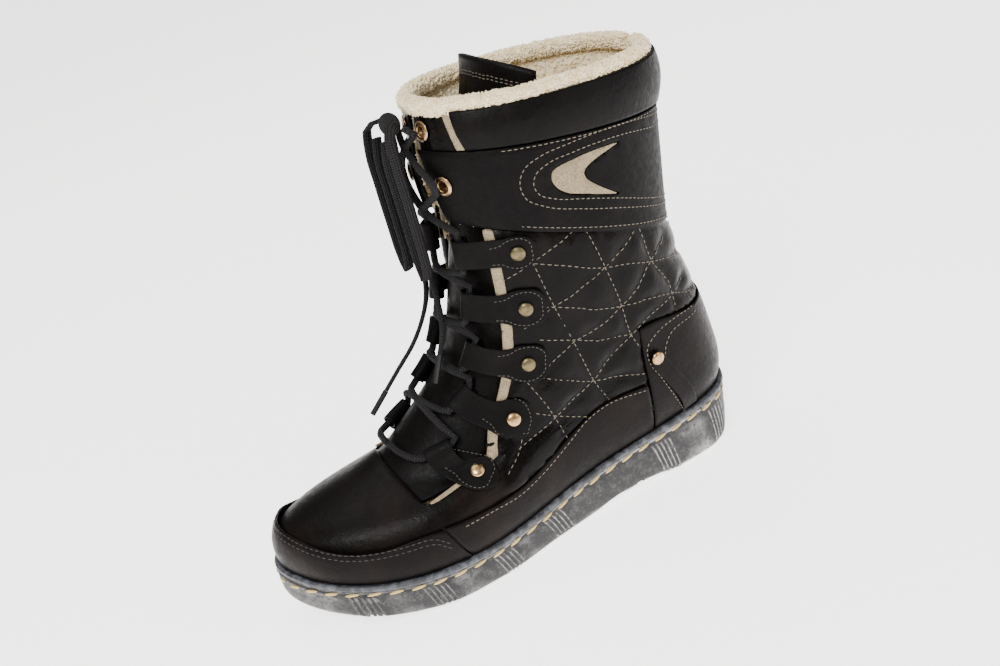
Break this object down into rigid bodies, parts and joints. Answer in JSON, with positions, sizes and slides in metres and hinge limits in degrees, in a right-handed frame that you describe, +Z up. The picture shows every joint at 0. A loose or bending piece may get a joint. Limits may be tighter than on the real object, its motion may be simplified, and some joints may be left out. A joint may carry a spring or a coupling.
{
  "type": "winter boot",
  "caption": "Ankle-high laced winter boot in dark brown leather with quilted sides, suede trim, brass rivets, pale fleece lining and a ribbed rubber sole",
  "frame": {"origin": "centre of the flat heel spot on the sole's underside, on the middle line of the boot", "axes": "+Z up out of the collar, -Y towards the toe, +X to the outer side of this left boot"},
  "size_m": [0.104, 0.2841, 0.2594],
  "materials": {
    "rubber_sole": "matte, worn",
    "rubber_welt": "matte",
    "leather": "satin",
    "suede": "napped",
    "fleece": "fluffy",
    "brass": "aged",
    "lace": "woven matte",
    "aglet": "smooth"
  },
  "bodies": {
    "root": {"outsole": "rubber_sole", "welt": "rubber_welt", "insole": "fleece", "upper": "leather", "toe_band": "leather", "mudguard_outer": "leather", "mudguard_inner": "leather", "heel_counter": "leather", "counter_strap_outer": "leather", "counter_strap_inner": "leather", "cuff": "leather", "suede_inlay_outer": "suede", "suede_inlay_inner": "suede", "collar_band": "leather", "collar_edging_outer": "suede", "collar_edging_inner": "suede", "throat_edging_outer": "suede", "throat_edging_inner": "suede", "tongue": "leather", "lace_crossings": "lace", "lace_knot": "lace", "bow_loop_outer": "lace", "bow_loop_inner": "lace", "lace_end_long": "lace", "lace_end_short": "lace", "aglet_long": "aglet", "aglet_short": "aglet", "lace_tab_outer_1": "leather", "lace_tab_outer_2": "leather", "lace_tab_outer_3": "leather", "lace_tab_outer_4": "leather", "lace_tab_outer_5": "leather", "rivet_outer_1": "brass", "rivet_outer_2": "brass", "rivet_outer_3": "brass", "rivet_outer_4": "brass", "rivet_outer_5": "brass", "counter_rivet_outer": "brass", "eyelet_outer_1": "brass", "eyelet_outer_2": "brass", "lace_tab_inner_1": "leather", "lace_tab_inner_2": "leather", "lace_tab_inner_3": "leather", "lace_tab_inner_4": "leather", "lace_tab_inner_5": "leather", "rivet_inner_1": "brass", "rivet_inner_2": "brass", "rivet_inner_3": "brass", "rivet_inner_4": "brass", "rivet_inner_5": "brass", "counter_rivet_inner": "brass", "eyelet_inner_1": "brass", "eyelet_inner_2": "brass"}
  },
  "joints": []
}
